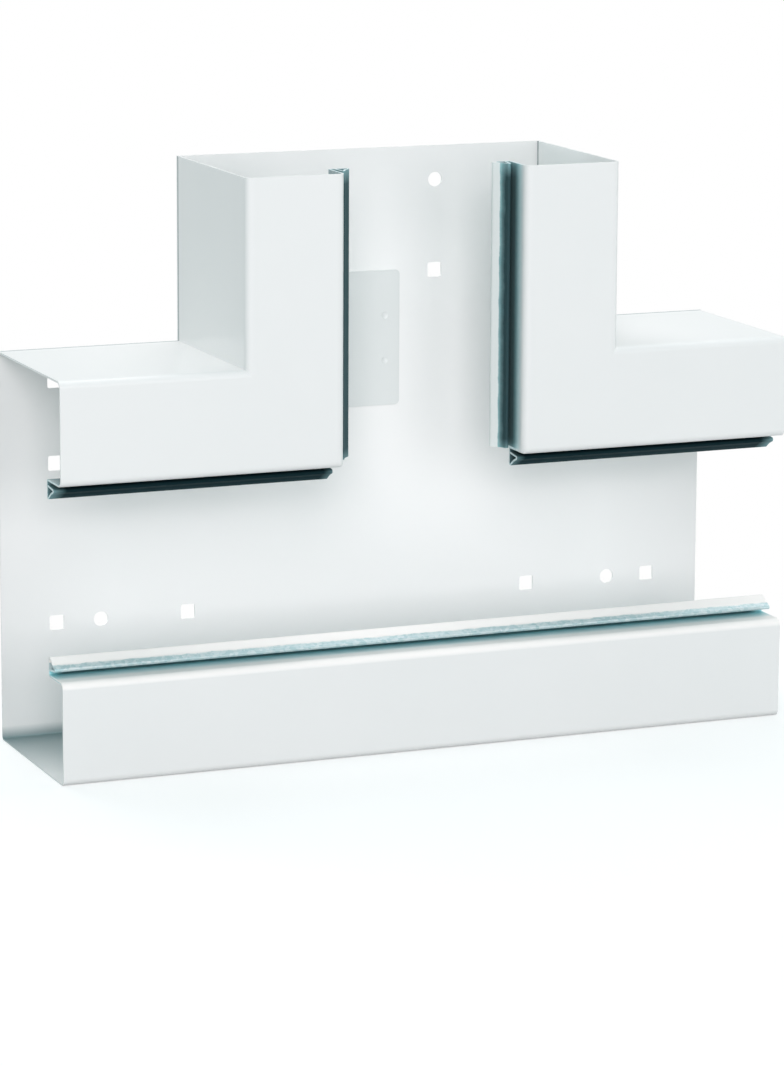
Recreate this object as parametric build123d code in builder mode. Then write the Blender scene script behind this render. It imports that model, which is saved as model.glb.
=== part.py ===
from build123d import *
import os

# Tee fitting for sheet-steel wall trunking, with the branch pointing up.
# Folded from thin sheet: a tray that is the whole back, the floor and the lower front shoulder,
# two L-shaped corner boxes with the upper shoulders, and a joint plate welded on the back.
# X runs along the trunking, Y into the wall and Z up. The origin is on the wall,
# where the centre lines of run and branch cross.

# Trunking that the tee joins
run_length = 332.0
run_width = 170.0
branch_width = 170.0
branch_rise = 80.0
depth = 85.0
sheet = 0.8

# Front shoulders, and the inside radii of the folds
shoulder = 44.0
front_bend = 2.2
back_bend = 1.2
corner_bend = 0.7
lip_bend = 0.6
beak_bend = 0.1

# Lip along the front opening, as corners of its mid line:
# depths from the front face, reaches from the shoulder's edge into the opening
lip_depth = 18.2
run_nose_reach = 8.1
branch_nose_reach = 9.2
nose_foot_depth = 13.6
nose_foot_reach = 4.9
beak_depth = 9.1
beak_reach = 2.9
loose_end_gap = 0.4
loose_end_reach = 2.0

# Holes in the back: rows from the centre lines, the rest from the nearest open end or top edge
hole_size = 6.5
hole_corner = 0.8
hole_row = 35.0
end_square = 25.0
run_round = 45.0
run_square = 85.0
high_square = 14.0
branch_round = 15.0
branch_square = 55.0

# Joint plate over the line where the backs of run and branch meet
plate_width = 36.0
plate_height = 60.0
plate_sheet = 1.0
plate_corner = 2.0
plate_drop = 4.0
weld_across = 22.0
weld_up = 20.0
weld_radius = 1.6
weld_depth = 0.45

half_sheet = sheet / 2
run_end = run_length / 2
run_top = run_width / 2
branch_side = branch_width / 2
branch_top = run_top + branch_rise


def lip_line(nose_reach):
    """Fold line of a lip: it leaves the deep end of the return and comes back to it."""
    return [
        (lip_depth, -half_sheet),
        (lip_depth, nose_reach),
        (nose_foot_depth, nose_foot_reach),
        (beak_depth, beak_reach),
        (lip_depth - half_sheet - loose_end_gap, loose_end_reach),
    ]


lip_bends = [lip_bend + half_sheet] * 3 + [beak_bend + half_sheet]
return_end = lip_depth - lip_bend - half_sheet

# Tray: back, floor, lower shoulder and lower lip are one fold, and the branch's back stands on it
tray_line = [
    (-half_sheet, run_top),
    (-half_sheet, half_sheet - run_top),
    (half_sheet - depth, half_sheet - run_top),
    (half_sheet - depth, shoulder - half_sheet - run_top),
]
for from_front, reach in lip_line(run_nose_reach):
    tray_line.append((from_front - depth, shoulder - run_top + reach))
tray_bends = [back_bend + half_sheet] + [front_bend + half_sheet] * 2 + lip_bends

squares = []
rounds = []
for side in (-1, 1):
    for row in (-hole_row, hole_row):
        squares.append((side * (run_end - end_square), row))
        squares.append((side * (run_end - run_square), row))
        rounds.append((side * (run_end - run_round), row))
    squares.append((side * (run_end - end_square), run_top - high_square))
    squares.append((side * hole_row, branch_top - branch_square))
    rounds.append((side * hole_row, branch_top - branch_round))

with BuildPart() as back_tray:
    with BuildSketch(Plane.YZ):
        with BuildLine():
            FilletPolyline(*tray_line, radius=tray_bends)
        trace(line_width=sheet)
    extrude(amount=run_end, both=True)
    with BuildSketch(Plane.XZ):
        with Locations((0, run_top)):
            Rectangle(branch_width, branch_rise, align=(Align.CENTER, Align.MIN))
    extrude(amount=sheet)
    with BuildSketch(Plane.XZ):
        with Locations(*squares):
            RectangleRounded(hole_size, hole_size, hole_corner)
        with Locations(*rounds):
            Circle(hole_size / 2)
    extrude(amount=sheet, mode=Mode.SUBTRACT)

# Corner boxes: front, two outer walls and two returns as one shell, open at both ends and behind
inner_x = shoulder - branch_side
inner_z = run_top - shoulder


def front_folds(part):
    """Front edges that are folds: all but the two that lie on the box's open ends."""
    front = part.faces().sort_by(Axis.Y)[0]
    uncut = front.edges().filter_by_position(Axis.X, -run_end, inner_x, inclusive=(False, True))
    return uncut.filter_by_position(Axis.Z, inner_z, branch_top, inclusive=(True, False))


def opening_corner(part):
    """Edge along the depth where the two returns meet, at the corner of the front opening."""
    along_depth = part.edges().filter_by(Axis.Y)
    return along_depth.sort_by(lambda edge: edge.center().Z - edge.center().X)[0]


with BuildPart() as hollow:
    with BuildSketch(Plane.XZ.offset(sheet)):
        with BuildLine():
            Polyline(
                (-run_end, run_top - sheet),
                (sheet - branch_side, run_top - sheet),
                (sheet - branch_side, branch_top),
                (inner_x - sheet, branch_top),
                (inner_x - sheet, inner_z + sheet),
                (-run_end, inner_z + sheet),
                close=True,
            )
        make_face()
    extrude(amount=depth - 2 * sheet)
    fillet(opening_corner(hollow.part), corner_bend)
    fillet(front_folds(hollow.part), front_bend)

lip_start = [(return_end - lip_bend, -half_sheet)]
arm_line = lip_start + lip_line(run_nose_reach)
branch_line = lip_start + lip_line(branch_nose_reach)
arm_lip = [(from_front - depth, inner_z - reach) for from_front, reach in arm_line]
branch_lip = [(inner_x + reach, from_front - depth) for from_front, reach in branch_line]
corner_radius = corner_bend + sheet

with BuildPart() as left_corner_box:
    with BuildSketch(Plane.XZ.offset(sheet)):
        with BuildLine():
            Polyline(
                (-run_end, run_top),
                (-branch_side, run_top),
                (-branch_side, branch_top),
                (inner_x, branch_top),
                (inner_x, inner_z),
                (-run_end, inner_z),
                close=True,
            )
        make_face()
    extrude(amount=depth - sheet)
    fillet(opening_corner(left_corner_box.part), corner_radius)
    fillet(front_folds(left_corner_box.part), front_bend + sheet)
    add(hollow.part, mode=Mode.SUBTRACT)
    # The returns stop where the lips' first bend begins
    with BuildSketch(Plane.XZ.offset(sheet)):
        with Locations((-run_end, inner_z)):
            Rectangle(run_end + inner_x, corner_radius + sheet, align=(Align.MIN, Align.MIN))
        with Locations((inner_x, inner_z)):
            Rectangle(corner_radius + sheet, branch_top - inner_z, align=(Align.MAX, Align.MIN))
    extrude(amount=depth - sheet - return_end, mode=Mode.SUBTRACT)
    with BuildSketch(Plane.YZ.offset(-run_end)):
        with BuildLine():
            FilletPolyline(*arm_lip, radius=lip_bends)
        trace(line_width=sheet)
    extrude(amount=run_end + inner_x - corner_radius)
    with BuildSketch(Plane.XY.offset(inner_z + corner_radius)):
        with BuildLine():
            FilletPolyline(*branch_lip, radius=lip_bends)
        trace(line_width=sheet)
    extrude(amount=branch_top - inner_z - corner_radius)

with BuildPart() as right_corner_box:
    mirror(left_corner_box.part, about=Plane.YZ)

# Joint plate: lies on the tray's back and carries four dished weld marks
weld_ball = (weld_radius**2 + weld_depth**2) / (2 * weld_depth)

with BuildPart() as joint_plate:
    with BuildSketch(Plane.XZ.offset(sheet)):
        with Locations((0, run_top - plate_drop)):
            RectangleRounded(plate_width, plate_height, plate_corner)
    extrude(amount=plate_sheet)
    with Locations(Plane.XZ.offset(sheet + plate_sheet + weld_ball - weld_depth)):
        with Locations((0, run_top - plate_drop)):
            with GridLocations(weld_across, weld_up, 2, 2):
                Sphere(weld_ball, mode=Mode.SUBTRACT)

back_tray.part.label = "back_tray"
left_corner_box.part.label = "left_corner_box"
right_corner_box.part.label = "right_corner_box"
joint_plate.part.label = "joint_plate"

os.makedirs("parts", exist_ok=True)
export_step(back_tray.part, "parts/back_tray.step")
export_step(left_corner_box.part, "parts/left_corner_box.step")
export_step(right_corner_box.part, "parts/right_corner_box.step")
export_step(joint_plate.part, "parts/joint_plate.step")
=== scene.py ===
import math

import bpy
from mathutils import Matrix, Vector


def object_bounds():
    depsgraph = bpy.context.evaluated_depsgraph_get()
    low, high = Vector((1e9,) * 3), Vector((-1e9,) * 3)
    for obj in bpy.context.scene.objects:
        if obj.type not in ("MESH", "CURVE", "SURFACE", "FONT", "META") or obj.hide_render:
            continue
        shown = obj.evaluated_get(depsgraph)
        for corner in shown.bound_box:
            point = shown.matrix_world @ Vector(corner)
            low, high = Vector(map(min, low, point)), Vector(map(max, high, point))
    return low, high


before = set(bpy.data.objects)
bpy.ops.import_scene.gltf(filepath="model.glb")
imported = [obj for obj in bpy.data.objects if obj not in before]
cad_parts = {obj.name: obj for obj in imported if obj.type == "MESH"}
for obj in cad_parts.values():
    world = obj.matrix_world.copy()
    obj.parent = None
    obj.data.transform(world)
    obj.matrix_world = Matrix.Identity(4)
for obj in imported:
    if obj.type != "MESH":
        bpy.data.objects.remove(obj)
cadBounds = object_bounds()
mm = 0.001
low = cadBounds[0].z

# the folded section, as the CAD has it; reaches count from the shoulder's edge into the opening
section = {
    "depth": 85 * mm,  # wall to front face
    "sheet": 0.8 * mm,
    "opening": 41 * mm,  # half the width of the front opening
    "half": 85 * mm,  # half the width of run and branch
    "runEnd": 166 * mm,
    "branchTop": 165 * mm,
    "lipStart": 42.5 * mm,  # upper lips stop short of the corner
    "lipBack": 18.2 * mm,  # middle of the lip's rear wall, behind the front face
    "hem": 1.3 * mm,  # reach where the lip's folded part begins
    "hiddenSkin": -0.48 * mm,  # below this reach a point is on the return's hidden side
    "lipFoot": -1.2 * mm,  # below this reach it is off the lip
    "cutEnd": 0.1 * mm,  # this near to an end it is on the cut
}


def hexToLinear(code):
    parts = [int(code[i:i + 2], 16) / 255 for i in (1, 3, 5)]
    return [p / 12.92 if p <= 0.04045 else ((p + 0.055) / 1.055) ** 2.4 for p in parts] + [1.0]


def addNode(tree, kind, inputs=None, **settings):
    node = tree.nodes.new(kind)
    for name, value in settings.items():
        setattr(node, name, value)
    for key, value in (inputs or {}).items():
        if isinstance(value, bpy.types.NodeSocket):
            tree.links.new(value, node.inputs[key])
        else:
            node.inputs[key].default_value = value
    return node


def newMaterial(name):
    material = bpy.data.materials.new(name)
    material.use_nodes = True
    material.node_tree.nodes.clear()
    return material, material.node_tree


# camera at the photograph's angle
cameraSetup = {
    "place": (-0.69613, -1.71713, 0.37650),
    "turn": (79.189, -0.278, -22.460),  # degrees
    "lens": 144.167,
    "sensor": 36.0,
    "shiftY": -0.06,  # the object sits above the middle of the picture
}
cameraData = bpy.data.cameras.new("camera")
cameraData.lens = cameraSetup["lens"]
cameraData.sensor_width = cameraSetup["sensor"]
cameraData.shift_y = cameraSetup["shiftY"]
camera = bpy.data.objects.new("camera", cameraData)
camera.location = cameraSetup["place"]
camera.rotation_euler = [math.radians(angle) for angle in cameraSetup["turn"]]
bpy.context.scene.collection.objects.link(camera)
bpy.context.scene.camera = camera
print("camera set")


def sheetPlaces(tree, lips):
    # where a point lies: behind the front face, into the opening, from the ends, and on what part of the lip
    position = addNode(tree, "ShaderNodeTexCoord").outputs["Object"]
    x, y, z = addNode(tree, "ShaderNodeSeparateXYZ", {0: position}).outputs
    fromFront = addNode(tree, "ShaderNodeMath", {0: y, 1: section["depth"]}, operation="ADD").outputs[0]
    sideways = addNode(tree, "ShaderNodeMath", {0: x}, operation="ABSOLUTE").outputs[0]
    toRunEnd = addNode(tree, "ShaderNodeMath", {0: section["runEnd"], 1: sideways}, operation="SUBTRACT")
    toBranchTop = addNode(tree, "ShaderNodeMath", {0: section["branchTop"], 1: z}, operation="SUBTRACT")
    fromEnd = addNode(tree, "ShaderNodeMath", {
        0: toRunEnd.outputs[0], 1: toBranchTop.outputs[0],
    }, operation="MINIMUM").outputs[0]
    places = {"position": position, "y": y, "z": z, "fromFront": fromFront, "fromEnd": fromEnd}
    if lips == "lower":
        reach = addNode(tree, "ShaderNodeMath", {0: z, 1: section["opening"]}, operation="ADD").outputs[0]
        fromCut = fromEnd
        enclosed = addNode(tree, "ShaderNodeMath", {0: y, 1: -section["sheet"] / 2}, operation="LESS_THAN")
    else:
        onArm = addNode(tree, "ShaderNodeMath", {
            0: section["opening"], 1: z,
        }, operation="SUBTRACT").outputs[0]
        onBranch = addNode(tree, "ShaderNodeMath", {
            0: section["opening"], 1: sideways,
        }, operation="SUBTRACT").outputs[0]
        reach = addNode(tree, "ShaderNodeMath", {0: onArm, 1: onBranch}, operation="MAXIMUM").outputs[0]
        along = addNode(tree, "ShaderNodeMath", {0: sideways, 1: z}, operation="MAXIMUM").outputs[0]
        fromCorner = addNode(tree, "ShaderNodeMath", {
            0: along, 1: section["lipStart"],
        }, operation="SUBTRACT").outputs[0]
        fromCut = addNode(tree, "ShaderNodeMath", {0: fromEnd, 1: fromCorner}, operation="MINIMUM").outputs[0]
        inner = addNode(tree, "ShaderNodeMath", {0: sideways, 1: z}, operation="MINIMUM").outputs[0]
        wall = section["half"] - section["sheet"] / 2
        enclosed = addNode(tree, "ShaderNodeMath", {0: inner, 1: wall}, operation="LESS_THAN")
        branch = addNode(tree, "ShaderNodeMath", {0: onBranch, 1: onArm}, operation="GREATER_THAN").outputs[0]
        right = addNode(tree, "ShaderNodeMath", {0: x, 1: 0.0}, operation="GREATER_THAN").outputs[0]
        rightBranch = addNode(tree, "ShaderNodeMath", {0: branch, 1: right}, operation="MULTIPLY").outputs[0]
        places.update({"fromCorner": fromCorner, "branch": branch, "rightBranch": rightBranch})
    places.update({"reach": reach, "enclosed": enclosed.outputs[0]})
    tests = {
        "hem": (reach, "GREATER_THAN", section["hem"]),
        "hiddenSkin": (reach, "LESS_THAN", section["hiddenSkin"]),
        "onLip": (reach, "GREATER_THAN", section["lipFoot"]),
        "beforeBack": (fromFront, "LESS_THAN", section["lipBack"]),
        "uncut": (fromCut, "GREATER_THAN", section["cutEnd"]),
    }
    for name, (value, test, limit) in tests.items():
        places[name] = addNode(tree, "ShaderNodeMath", {0: value, 1: limit}, operation=test).outputs[0]
    return places


# powder coat: thick satin white, nearly even, with a faint orange peel
coatSetup = {
    "color": "#EDEEED",
    "cool": "#E9EBEA",
    "cloudSize": 60 * mm,
    "cloudDetail": 3.0,
    "inside": "#F8FAF9",  # painted light: the coat is whiter inside, brightening the hollows
    "insideStart": 20 * mm,
    "insideEnd": 40 * mm,
    "insideLightEnd": 50 * mm,  # and the painted light fades near the tray's open ends
    "plate": "#E4E9E8",  # the joint plate is a tone greyer
    "nose": "#FEFBF8",  # painted highlight: a whiter coat on the noses and round the lower front's bend
    "bendStart": -3.2 * mm,
    "bendFull": -1.5 * mm,
    "bendDepth": 14 * mm,
    "seamShade": "#98A4A6",  # painted shade in the gap along the seam between wall and back
    "seamStart": 1.8 * mm,
    "seamFull": 0.9 * mm,
    "peelSize": 2.2 * mm,
    "peelDetail": 2.0,
    "peelHeight": 0.004 * mm,
    "roughness": 0.34,
    "specular": 0.4,
}
# painted shade on the tray's inside floor, darker to the back
floorShadeSetup = {
    "color": "#6F8B8E",
    "start": 20 * mm,  # behind the front face
    "most": 0.95,
    "height": 6 * mm,  # how far it climbs the back
}


def paintedInsideLight(tree, places, lips):
    # painted light: a whiter coat deep inside the hollows
    deep = addNode(tree, "ShaderNodeMapRange", {
        "Value": places["fromFront"],
        "From Min": coatSetup["insideStart"], "From Max": coatSetup["insideEnd"],
    }).outputs[0]
    inside = addNode(tree, "ShaderNodeMath", {
        0: deep, 1: places["enclosed"],
    }, operation="MULTIPLY").outputs[0]
    if lips == "upper":
        return inside
    inward = addNode(tree, "ShaderNodeMapRange", {
        "Value": places["fromEnd"], "From Max": coatSetup["insideLightEnd"],
    }).outputs[0]
    return addNode(tree, "ShaderNodeMath", {0: inside, 1: inward}, operation="MULTIPLY").outputs[0]


def noseCover(tree, places, lips):
    # painted highlight on the noses, and on the lower front's bend and the front of its return
    nose = addNode(tree, "ShaderNodeMath", {
        0: places["hem"], 1: places["beforeBack"],
    }, operation="MULTIPLY").outputs[0]
    if lips == "upper":
        return nose
    bend = addNode(tree, "ShaderNodeMapRange", {
        "Value": places["reach"], "From Min": coatSetup["bendStart"], "From Max": coatSetup["bendFull"],
    }).outputs[0]
    shallow = addNode(tree, "ShaderNodeMath", {
        0: places["fromFront"], 1: coatSetup["bendDepth"],
    }, operation="LESS_THAN").outputs[0]
    bend = addNode(tree, "ShaderNodeMath", {0: bend, 1: shallow}, operation="MULTIPLY").outputs[0]
    return addNode(tree, "ShaderNodeMath", {0: nose, 1: bend}, operation="MAXIMUM").outputs[0]


def paintedFloorShade(tree, places):
    # painted shade, darker towards the back and down at the floor
    back = addNode(tree, "ShaderNodeMapRange", {
        "Value": places["fromFront"], "From Min": floorShadeSetup["start"], "From Max": section["depth"],
        "To Max": floorShadeSetup["most"],
    }).outputs[0]
    foot = addNode(tree, "ShaderNodeMapRange", {
        "Value": places["z"], "From Min": low + floorShadeSetup["height"], "From Max": low + section["sheet"],
    }).outputs[0]
    upperSkin = addNode(tree, "ShaderNodeMath", {
        0: places["z"], 1: low + section["sheet"] / 2,
    }, operation="GREATER_THAN").outputs[0]
    floorShade = addNode(tree, "ShaderNodeMath", {0: back, 1: foot}, operation="MULTIPLY").outputs[0]
    return addNode(tree, "ShaderNodeMath", {0: floorShade, 1: upperSkin}, operation="MULTIPLY").outputs[0]


def coatColor(tree, places, lips):
    clouds = addNode(tree, "ShaderNodeTexNoise", {
        "Vector": places["position"], "Scale": 1 / coatSetup["cloudSize"], "Detail": coatSetup["cloudDetail"],
    })
    coat = addNode(tree, "ShaderNodeMix", {
        "Factor": clouds.outputs["Fac"],
        "A": hexToLinear(coatSetup["color"]), "B": hexToLinear(coatSetup["cool"]),
    }, data_type="RGBA").outputs[2]
    # painted light and shade laid over the coat: whiter inside, a highlight on noses and bends, shade on the
    # tray's floor and along the seams
    tones = [
        (paintedInsideLight(tree, places, lips), coatSetup["inside"]),
        (noseCover(tree, places, lips), coatSetup["nose"]),
    ]
    if lips == "lower":
        tones.append((paintedFloorShade(tree, places), floorShadeSetup["color"]))
    else:
        # painted shade in the narrow gap where the walls meet the back
        seam = addNode(tree, "ShaderNodeMapRange", {
            "Value": places["y"], "From Min": -section["sheet"] - coatSetup["seamStart"],
            "From Max": -section["sheet"] - coatSetup["seamFull"],
        }).outputs[0]
        tones.append((seam, coatSetup["seamShade"]))
    for cover, tone in tones:
        coat = addNode(tree, "ShaderNodeMix", {
            "Factor": cover, "A": coat, "B": hexToLinear(tone),
        }, data_type="RGBA").outputs[2]
    return coat


# where the coat stops on the lips; depths from the front face, reaches into the opening
coatEdge = {
    "fadeStart": {"lower": 6.5 * mm, "upper": 2.5 * mm},  # on the return the coat thins out
    "fadeEnd": {"lower": 15.5 * mm, "upper": 9.0 * mm},
    "hiddenStart": 1.5 * mm,  # and sooner on its hidden side
    "hiddenEnd": 2.5 * mm,
    "noseEdge": {"lower": 4.9 * mm, "upper": 5.9 * mm},
    "noseCover": {"lower": 1.0, "upper": 0.68},  # thin on the branch's right nose
    "sharp": 0.15 * mm,
    "ragged": {"lower": 0.5 * mm, "upper": 0.4 * mm},
    "raggedSize": 9 * mm,
    "raggedDetail": 6.0,
    "raggedRoughness": 0.65,
    "noiseLow": 0.3,  # the noise keeps mostly between these
    "noiseHigh": 0.7,
}


def raggedPlaces(tree, places, lips):
    # the same depths and reaches with a ragged wobble, for the coat's torn edges
    noise = addNode(tree, "ShaderNodeTexNoise", {
        "Vector": places["position"], "Scale": 1 / coatEdge["raggedSize"],
        "Detail": coatEdge["raggedDetail"], "Roughness": coatEdge["raggedRoughness"],
    })
    most = coatEdge["ragged"][lips] / 2
    wobble = addNode(tree, "ShaderNodeMapRange", {
        "Value": noise.outputs["Fac"], "From Min": coatEdge["noiseLow"], "From Max": coatEdge["noiseHigh"],
        "To Min": -most, "To Max": most,
    }, clamp=False).outputs[0]
    for name in ("fromFront", "reach"):
        wobbled = addNode(tree, "ShaderNodeMath", {0: places[name], 1: wobble}, operation="ADD")
        places[name + "Ragged"] = wobbled.outputs[0]


def bareZinc(tree, places, lips):
    # 1 where the zinc is bare, 0 under the coat
    fade = addNode(tree, "ShaderNodeMapRange", {
        "Value": places["fromFrontRagged"],
        "From Min": coatEdge["fadeStart"][lips], "From Max": coatEdge["fadeEnd"][lips],
    }).outputs[0]
    hiddenFade = addNode(tree, "ShaderNodeMapRange", {
        "Value": places["fromFrontRagged"],
        "From Min": coatEdge["hiddenStart"], "From Max": coatEdge["hiddenEnd"],
    }).outputs[0]
    hidden = addNode(tree, "ShaderNodeMath", {
        0: places["hiddenSkin"], 1: hiddenFade,
    }, operation="MULTIPLY").outputs[0]
    bare = addNode(tree, "ShaderNodeMath", {0: fade, 1: places["hem"]}, operation="MAXIMUM").outputs[0]
    bare = addNode(tree, "ShaderNodeMath", {0: bare, 1: hidden}, operation="MAXIMUM").outputs[0]
    noseCoat = addNode(tree, "ShaderNodeMapRange", {
        "Value": places["reachRagged"], "From Min": coatEdge["noseEdge"][lips] - coatEdge["sharp"],
        "From Max": coatEdge["noseEdge"][lips] + coatEdge["sharp"], "To Max": coatEdge["noseCover"][lips],
    }).outputs[0]
    if lips == "upper":
        # only the right side of the branch got coat on its nose
        noseCoat = addNode(tree, "ShaderNodeMath", {
            0: noseCoat, 1: places["rightBranch"],
        }, operation="MULTIPLY").outputs[0]
    noseBare = addNode(tree, "ShaderNodeMath", {0: 1.0, 1: noseCoat}, operation="SUBTRACT").outputs[0]
    for factor in (noseBare, places["beforeBack"], places["onLip"]):
        bare = addNode(tree, "ShaderNodeMath", {0: bare, 1: factor}, operation="MULTIPLY").outputs[0]
    return bare


# painted shade on the bare zinc: in the groove, on the hidden side, and over the lips that lie in shadow
zincShadeSetup = {
    "grooveStart": 15.8 * mm,  # bottom of the groove behind the lower beak
    "grooveEnd": 17.8 * mm,
    "grooveHeight": 2.2 * mm,
    "grooveMost": 0.84,
    "tipStart": 10.6 * mm,  # painted shade on the beak's edge
    "tipEnd": 9.2 * mm,
    "tipMost": 0.6,
    "sideStart": 6.0 * mm,  # return on the branch's right side
    "sideEnd": 11.5 * mm,
    "sideMost": 0.74,
    "belowCoat": 1.5 * mm,  # less painted shade in a strip under the ragged coat there
    "flareLeast": 0.43,
    "flareMost": 0.93,
    "lessShadeStart": 5.8 * mm,  # a little less painted shade on the arms' noses
    "lessShadeEnd": 7.4 * mm,
    "lessShaded": 0.97,
    "leftBranch": 0.9,
    "hiddenMost": 0.66,
    "endLength": 6 * mm,  # less painted shade towards the lips' cut ends, where light reaches in
    "endLeast": {"lower": 0.0, "upper": 0.6},
    "cornerLength": 4 * mm,
    "cornerLeast": 0.75,
}


def lowerZincShade(tree, places):
    # painted shade deep in the groove behind the beak and on the beak's edge
    deep = addNode(tree, "ShaderNodeMapRange", {
        "Value": places["fromFront"],
        "From Min": zincShadeSetup["grooveStart"], "From Max": zincShadeSetup["grooveEnd"],
        "To Max": zincShadeSetup["grooveMost"],
    }).outputs[0]
    inGroove = addNode(tree, "ShaderNodeMath", {
        0: places["reach"], 1: zincShadeSetup["grooveHeight"],
    }, operation="LESS_THAN").outputs[0]
    groove = addNode(tree, "ShaderNodeMath", {0: deep, 1: inGroove}, operation="MULTIPLY").outputs[0]
    tip = addNode(tree, "ShaderNodeMapRange", {
        "Value": places["fromFront"], "From Min": zincShadeSetup["tipStart"], "From Max": zincShadeSetup["tipEnd"],
        "To Max": zincShadeSetup["tipMost"],
    }).outputs[0]
    tip = addNode(tree, "ShaderNodeMath", {0: tip, 1: places["hem"]}, operation="MULTIPLY").outputs[0]
    return addNode(tree, "ShaderNodeMath", {0: groove, 1: tip}, operation="MAXIMUM").outputs[0]


def upperZincShade(tree, places):
    # painted shade: dark on the arms and the branch's left, less on the branch's right
    dark = addNode(tree, "ShaderNodeMapRange", {
        "Value": places["reach"], "From Min": zincShadeSetup["lessShadeStart"], "From Max": zincShadeSetup["lessShadeEnd"],
        "To Min": 1.0, "To Max": zincShadeSetup["lessShaded"],
    }).outputs[0]
    dark = addNode(tree, "ShaderNodeMix", {
        "Factor": places["branch"], "A": dark, "B": zincShadeSetup["leftBranch"],
    }).outputs[0]
    dark = addNode(tree, "ShaderNodeMix", {
        "Factor": places["hiddenSkin"], "A": dark, "B": zincShadeSetup["hiddenMost"],
    }).outputs[0]
    side = addNode(tree, "ShaderNodeMapRange", {
        "Value": places["fromFront"], "From Min": zincShadeSetup["sideStart"], "From Max": zincShadeSetup["sideEnd"],
        "To Max": zincShadeSetup["sideMost"],
    }).outputs[0]
    edge = coatEdge["noseEdge"]["upper"]
    flare = addNode(tree, "ShaderNodeMapRange", {
        "Value": places["reachRagged"], "From Min": edge, "From Max": edge - zincShadeSetup["belowCoat"],
        "To Min": zincShadeSetup["flareLeast"], "To Max": zincShadeSetup["flareMost"],
    }).outputs[0]
    side = addNode(tree, "ShaderNodeMix", {"Factor": places["hem"], "A": side, "B": flare}).outputs[0]
    return addNode(tree, "ShaderNodeMix", {
        "Factor": places["rightBranch"], "A": dark, "B": side,
    }).outputs[0]


def zincShadeCover(tree, places, lips):
    # the painted shade thins out towards the cut ends, and none is painted on the cuts themselves
    along = addNode(tree, "ShaderNodeMapRange", {
        "Value": places["fromEnd"],
        "From Max": zincShadeSetup["endLength"], "To Min": zincShadeSetup["endLeast"][lips],
    }).outputs[0]
    factors = [along, places["uncut"]]
    if lips == "lower":
        zincShade = lowerZincShade(tree, places)
    else:
        zincShade = upperZincShade(tree, places)
        factors.append(addNode(tree, "ShaderNodeMapRange", {
            "Value": places["fromCorner"],
            "From Max": zincShadeSetup["cornerLength"], "To Min": zincShadeSetup["cornerLeast"],
        }).outputs[0])
    for factor in factors:
        zincShade = addNode(tree, "ShaderNodeMath", {0: zincShade, 1: factor}, operation="MULTIPLY").outputs[0]
    return zincShade


# bare galvanised steel: grey-teal metal with a small spangle and rolling streaks
zincSetup = {
    "light": "#E4EDEE",
    "dark": "#98C1C6",
    "paintedFillTone": "#A8E8EE",  # painted light: a lighter, bluer tone where the zinc lies in shade, in the lower groove and on the upper lips
    "upperLessShaded": 0.35,
    "zincShade": "#082B31",  # painted shade: near black on the shaded lips and in the groove
    "spangleSize": 1.4 * mm,
    "streakSize": 0.5 * mm,
    "streakLength": 14 * mm,
    "streakDetail": 3.0,
    "streakShare": 0.5,
    "metal": 0.35,  # dulled by its own oxide
    "shadeMetal": 0.7,  # metal setting where the shade is painted
    "roughness": 0.46,
    "roughnessSpread": 0.1,
    "shadeRoughness": 0.85,
}


def zincMottle(tree, places, lips):
    # spangle flowers and rolling streaks along each lip, 0 dark to 1 light
    position = places["position"]
    spangle = addNode(tree, "ShaderNodeTexVoronoi", {
        "Vector": position, "Scale": 1 / zincSetup["spangleSize"],
    })
    grain = addNode(tree, "ShaderNodeSeparateColor", {0: spangle.outputs["Color"]}).outputs[0]
    scales = [1 / zincSetup["streakLength"], 1 / zincSetup["streakSize"], 1 / zincSetup["streakSize"]]
    stretched = addNode(tree, "ShaderNodeVectorMath", {
        0: position, 1: scales,
    }, operation="MULTIPLY").outputs[0]
    if lips == "upper":
        upright = addNode(tree, "ShaderNodeVectorMath", {
            0: position, 1: scales[::-1],
        }, operation="MULTIPLY").outputs[0]
        stretched = addNode(tree, "ShaderNodeMix", {
            "Factor": places["branch"], "A": stretched, "B": upright,
        }, data_type="VECTOR").outputs[1]
    streak = addNode(tree, "ShaderNodeTexNoise", {
        "Vector": stretched, "Scale": 1.0, "Detail": zincSetup["streakDetail"],
    })
    return addNode(tree, "ShaderNodeMix", {
        "Factor": zincSetup["streakShare"], "A": grain, "B": streak.outputs["Fac"],
    }).outputs[0]


def zincColor(tree, places, lips, mottle, zincShade):
    zinc = addNode(tree, "ShaderNodeMix", {
        "Factor": mottle, "A": hexToLinear(zincSetup["dark"]), "B": hexToLinear(zincSetup["light"]),
    }, data_type="RGBA").outputs[2]
    # painted light: the lighter, bluer tone goes where the zinc lies in shade; the noses and cut ends keep
    # plain zinc
    lessShaded = places["hem"]
    if lips == "upper":
        lessShaded = addNode(tree, "ShaderNodeMix", {
            "Factor": places["hiddenSkin"], "A": zincSetup["upperLessShaded"], "B": 1.0,
        }).outputs[0]
    lessShaded = addNode(tree, "ShaderNodeMix", {"Factor": places["uncut"], "A": 1.0, "B": lessShaded}).outputs[0]
    zinc = addNode(tree, "ShaderNodeMix", {
        "Factor": lessShaded, "A": hexToLinear(zincSetup["paintedFillTone"]), "B": zinc,
    }, data_type="RGBA").outputs[2]
    return addNode(tree, "ShaderNodeMix", {
        "Factor": zincShade, "A": zinc, "B": hexToLinear(zincSetup["zincShade"]),
    }, data_type="RGBA").outputs[2]


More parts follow.
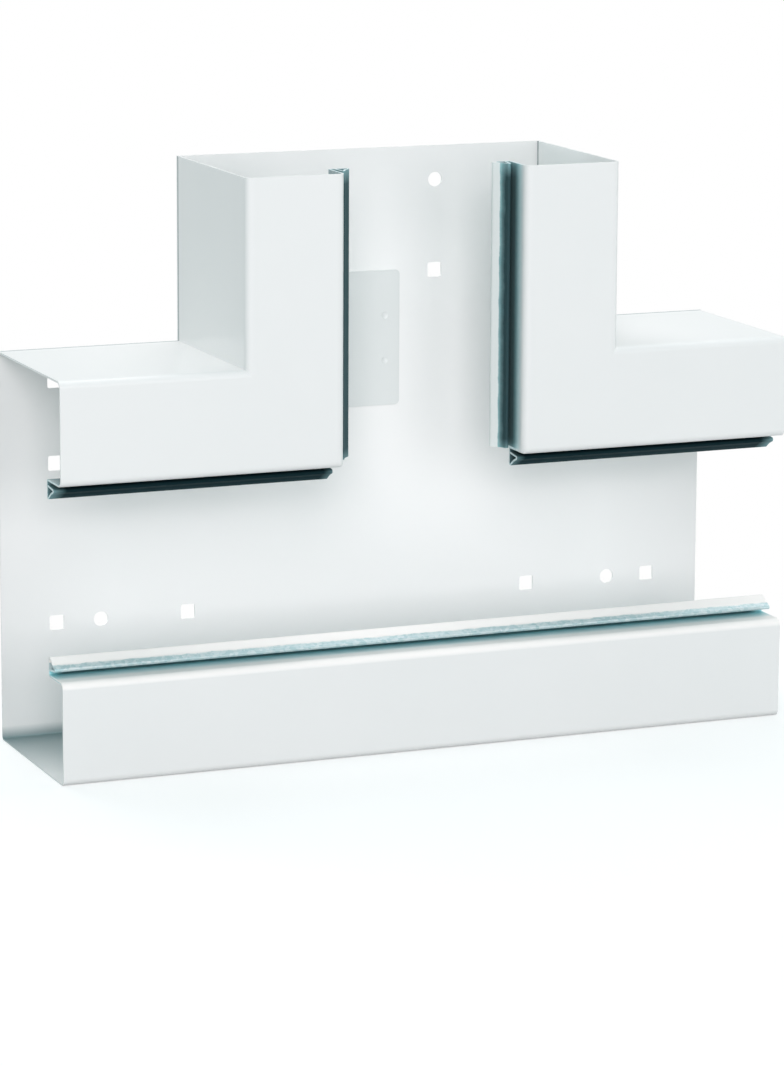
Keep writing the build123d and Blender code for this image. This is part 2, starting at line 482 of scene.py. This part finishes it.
def peeledSurface(tree, position, color, roughness, metal):
    peel = addNode(tree, "ShaderNodeTexNoise", {
        "Vector": position, "Scale": 1 / coatSetup["peelSize"], "Detail": coatSetup["peelDetail"],
    })
    bump = addNode(tree, "ShaderNodeBump", {
        "Height": peel.outputs["Fac"], "Strength": 1.0, "Distance": coatSetup["peelHeight"],
    })
    shader = addNode(tree, "ShaderNodeBsdfPrincipled", {
        "Base Color": color, "Roughness": roughness, "Metallic": metal,
        "Specular IOR Level": coatSetup["specular"], "Normal": bump.outputs["Normal"],
    })
    addNode(tree, "ShaderNodeOutputMaterial", {"Surface": shader.outputs[0]})


def plainSheet(name):
    material, tree = newMaterial(name)
    position = addNode(tree, "ShaderNodeTexCoord").outputs["Object"]
    peeledSurface(tree, position, hexToLinear(coatSetup["plate"]), coatSetup["roughness"], 0.0)
    return material


def lippedSheet(name, lips):
    # coat over zinc, with "lower" lips on the tray and "upper" lips on a corner box
    material, tree = newMaterial(name)
    places = sheetPlaces(tree, lips)
    raggedPlaces(tree, places, lips)
    coat = coatColor(tree, places, lips)
    bare = bareZinc(tree, places, lips)
    zincShade = zincShadeCover(tree, places, lips)
    mottle = zincMottle(tree, places, lips)
    zinc = zincColor(tree, places, lips, mottle, zincShade)
    color = addNode(tree, "ShaderNodeMix", {
        "Factor": bare, "A": coat, "B": zinc,
    }, data_type="RGBA").outputs[2]
    rough = addNode(tree, "ShaderNodeMapRange", {
        "Value": mottle, "To Min": zincSetup["roughness"] - zincSetup["roughnessSpread"],
        "To Max": zincSetup["roughness"] + zincSetup["roughnessSpread"],
    }).outputs[0]
    rough = addNode(tree, "ShaderNodeMix", {
        "Factor": zincShade, "A": rough, "B": zincSetup["shadeRoughness"],
    }).outputs[0]
    rough = addNode(tree, "ShaderNodeMix", {
        "Factor": bare, "A": coatSetup["roughness"], "B": rough,
    }).outputs[0]
    metal = addNode(tree, "ShaderNodeMix", {
        "Factor": zincShade, "A": zincSetup["metal"], "B": zincSetup["shadeMetal"],
    }).outputs[0]
    metal = addNode(tree, "ShaderNodeMath", {0: bare, 1: metal}, operation="MULTIPLY").outputs[0]
    peeledSurface(tree, places["position"], color, rough, metal)
    return material


finishes = {
    "back_tray": lippedSheet("powder coated steel tray", "lower"),
    "left_corner_box": lippedSheet("powder coated steel corner", "upper"),
    "joint_plate": plainSheet("powder coated steel plate"),
}
finishes["right_corner_box"] = finishes["left_corner_box"]
for node, material in finishes.items():
    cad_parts[node].material_slots[0].material = material
print("sheets coated")


def seenRays(tree):
    # 1 for what the camera sees, straight or by a reflection
    path = addNode(tree, "ShaderNodeLightPath").outputs
    seen = path["Is Camera Ray"]
    for other in ("Is Glossy Ray", "Is Transmission Ray"):
        seen = addNode(tree, "ShaderNodeMath", {0: seen, 1: path[other]}, operation="MAXIMUM").outputs[0]
    return seen


# floor, white to the eye and plainly lit for the shadow
floorSetup = {
    "color": "#BFC2C2",
    "half": 14.0,
    "lift": 0.56,
    "shadowNear": 0.35,  # the shadow fades out between these, and behind the object
    "shadowFar": 0.95,
    "behind": 80 * mm,
}
floorMesh = bpy.data.meshes.new("floor")
half = floorSetup["half"]
corners = [(-half, -half, low), (half, -half, low), (half, half, low), (-half, half, low)]
floorMesh.from_pydata(corners, [], [(0, 1, 2, 3)])
floor = bpy.data.objects.new("floor", floorMesh)
bpy.context.scene.collection.objects.link(floor)
floorMaterial, tree = newMaterial("white paper floor")
seen = seenRays(tree)
paper = addNode(tree, "ShaderNodeBsdfDiffuse", {"Color": hexToLinear(floorSetup["color"])})
glow = addNode(tree, "ShaderNodeMath", {0: seen, 1: floorSetup["lift"]}, operation="MULTIPLY").outputs[0]
lift = addNode(tree, "ShaderNodeEmission", {"Strength": glow})
both = addNode(tree, "ShaderNodeAddShader", {0: paper.outputs[0], 1: lift.outputs[0]})
spot = addNode(tree, "ShaderNodeTexCoord").outputs["Object"]
away = addNode(tree, "ShaderNodeVectorMath", {0: spot}, operation="LENGTH").outputs["Value"]
beyond = addNode(tree, "ShaderNodeMapRange", {
    "Value": away, "From Min": floorSetup["shadowNear"], "From Max": floorSetup["shadowFar"],
}, interpolation_type="SMOOTHSTEP").outputs[0]
depthWay = addNode(tree, "ShaderNodeSeparateXYZ", {0: spot}).outputs["Y"]
behind = addNode(tree, "ShaderNodeMapRange", {"Value": depthWay, "From Max": floorSetup["behind"]}).outputs[0]
beyond = addNode(tree, "ShaderNodeMath", {0: beyond, 1: behind}, operation="MAXIMUM").outputs[0]
whiteOut = addNode(tree, "ShaderNodeMath", {0: beyond, 1: seen}, operation="MULTIPLY").outputs[0]
farWhite = addNode(tree, "ShaderNodeEmission", {"Strength": 1.0})
surface = addNode(tree, "ShaderNodeMixShader", {0: whiteOut, 1: both.outputs[0], 2: farWhite.outputs[0]})
addNode(tree, "ShaderNodeOutputMaterial", {"Surface": surface.outputs[0]})
floorMesh.materials.append(floorMaterial)
print("floor laid")

# studio light: broad lamps left, above and right of the camera, weaker ones around, and a pale cool room
lamps = {
    "leftLamp": {"place": (-1.47, -3.64, 0.76), "size": 1.6, "watts": 44},
    "highLamp": {"place": (-1.35, -3.33, 1.75), "size": 1.6, "watts": 43},
    "rightLamp": {"place": (0.68, -3.87, 0.76), "size": 1.6, "watts": 28},
    "topLamp": {"place": (0.10, 0.70, 1.80), "size": 1.8, "watts": 25},
    "sideLamp": {"place": (3.00, -0.55, 0.50), "size": 1.2, "watts": 15},
    "backLamp": {"place": (-0.90, 3.60, 0.90), "size": 1.6, "watts": 45},
}
lampAim = Vector((0.0, 0.0, 0.02))
lampColor = "#FFF4F6"
for name, lamp in lamps.items():
    data = bpy.data.lights.new(name, "AREA")
    data.shape = "SQUARE"
    data.size = lamp["size"]
    data.energy = lamp["watts"]
    data.color = hexToLinear(lampColor)[:3]
    light = bpy.data.objects.new(name, data)
    light.location = lamp["place"]
    light.rotation_euler = (lampAim - light.location).to_track_quat("-Z", "Y").to_euler()
    bpy.context.scene.collection.objects.link(light)
roomSetup = {"shade": "#B6F0F2", "strength": 0.335}
world = bpy.data.worlds.new("white room")
bpy.context.scene.world = world
world.use_nodes = True
tree = world.node_tree
tree.nodes.clear()
room = addNode(tree, "ShaderNodeBackground", {
    "Color": hexToLinear(roomSetup["shade"]), "Strength": roomSetup["strength"],
})
white = addNode(tree, "ShaderNodeBackground", {"Color": (1, 1, 1, 1), "Strength": 1.0})
pick = addNode(tree, "ShaderNodeMixShader", {0: seenRays(tree), 1: room.outputs[0], 2: white.outputs[0]})
addNode(tree, "ShaderNodeOutputWorld", {"Surface": pick.outputs[0]})
bpy.context.scene.view_settings.view_transform = "Standard"
print("lights set")
